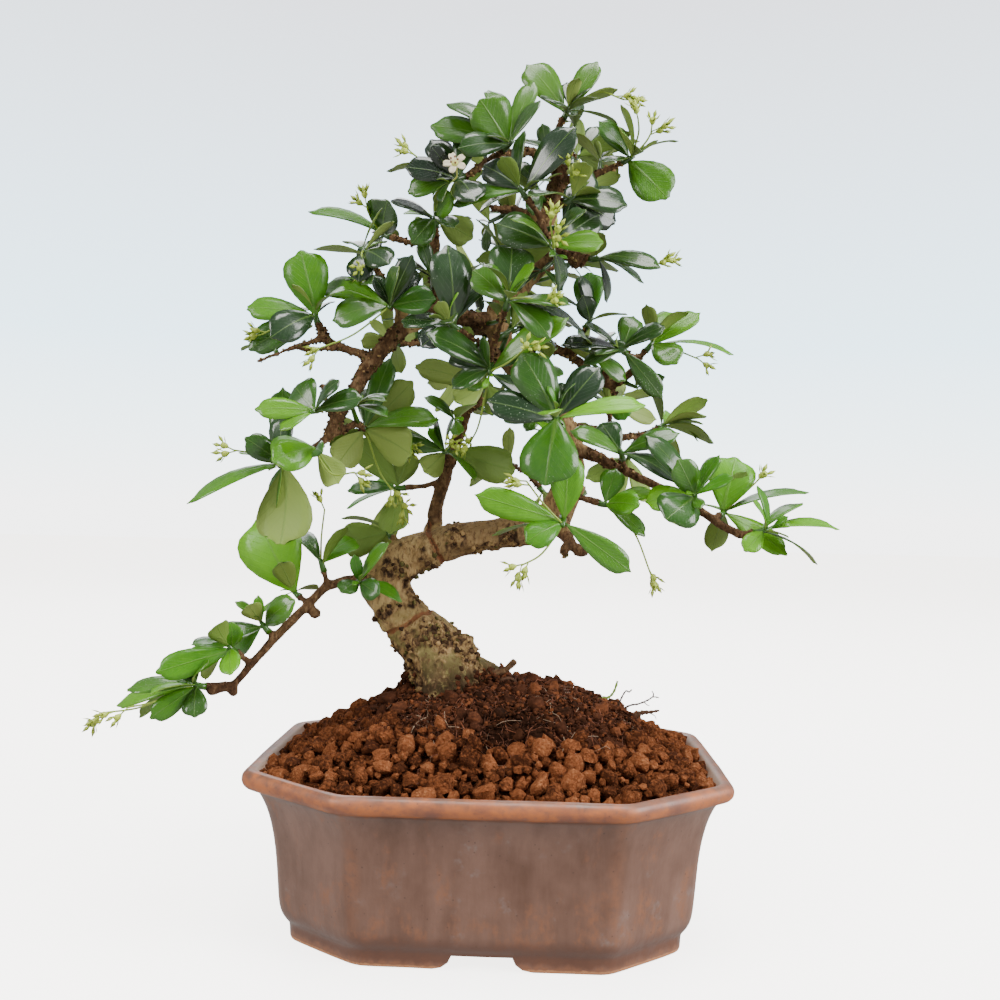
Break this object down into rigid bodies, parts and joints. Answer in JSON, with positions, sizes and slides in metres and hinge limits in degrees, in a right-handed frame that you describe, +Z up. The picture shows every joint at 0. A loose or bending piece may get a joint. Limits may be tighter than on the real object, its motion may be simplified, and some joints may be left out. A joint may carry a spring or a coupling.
{
  "type": "fukien tea bonsai",
  "caption": "Small leaning evergreen tree with glossy notched leaves and thin flower stalks, heaped clay granules round its roots, standing in a glazed octagonal pot with a foot.",
  "frame": {"origin": "bottom centre of the box of the tree and its pot, on the ground that the pot stands on", "axes": "+Z up, +X to the viewer's right with the tree's front facing -Y, the pot's long side along X"},
  "size_m": [0.2566, 0.138, 0.3227],
  "materials": {
    "glaze": "satin",
    "plastic_mesh": "matte",
    "granules": "matte",
    "peat": "matte",
    "bark": "matte",
    "foliage": "gloss",
    "petal": "matte"
  },
  "bodies": {
    "root": {"pot": "glaze", "drain_mesh": "plastic_mesh", "soil_bed": "granules", "root_ball": "peat", "trunk": "bark", "flower": "petal", "shoot_low_left_end": "foliage", "shoot_low_left_third": "foliage", "shoot_low_left_second": "foliage", "shoot_low_left_first": "foliage", "shoot_low_left_stub": "foliage", "shoot_elbow": "foliage", "shoot_arch_end": "foliage", "shoot_arch_tip": "foliage", "shoot_arch_low": "foliage", "shoot_arch_mid": "foliage", "shoot_arch_left": "foliage", "shoot_arch_rise": "foliage", "shoot_arch_front": "foliage", "shoot_arch_back_twig": "foliage", "shoot_mid_left": "foliage", "shoot_speckled": "foliage", "shoot_centre_left": "foliage", "shoot_top_flowering": "foliage", "shoot_top_left": "foliage", "shoot_apex": "foliage", "shoot_top_right": "foliage", "shoot_top_front": "foliage", "shoot_top_middle": "foliage", "shoot_middle_front": "foliage", "shoot_middle_high": "foliage", "shoot_right_knob": "foliage", "shoot_right_bright": "foliage", "shoot_right_upper_end": "foliage", "shoot_right_upper_in": "foliage", "shoot_right_upper_low": "foliage", "shoot_centre_main": "foliage", "shoot_centre_low": "foliage", "shoot_centre_low_right": "foliage", "shoot_right_low_in": "foliage", "shoot_right_low_mid": "foliage", "shoot_right_low_out": "foliage", "shoot_right_low_end": "foliage", "shoot_riser_top": "foliage", "shoot_riser_middle": "foliage", "shoot_riser_side": "foliage", "shoot_trunk_elbow": "foliage", "shoot_back_top": "foliage", "shoot_back_high_end": "foliage", "shoot_back_high_right": "foliage", "shoot_back_high_left": "foliage", "shoot_back_left_end": "foliage", "shoot_back_left_rise": "foliage", "shoot_back_left_low": "foliage", "shoot_back_low_end": "foliage", "shoot_back_low_rise": "foliage", "shoot_back_low_under": "foliage", "shoot_back_right_end": "foliage", "shoot_back_right_rise": "foliage", "shoot_back_right_low": "foliage"}
  },
  "joints": []
}
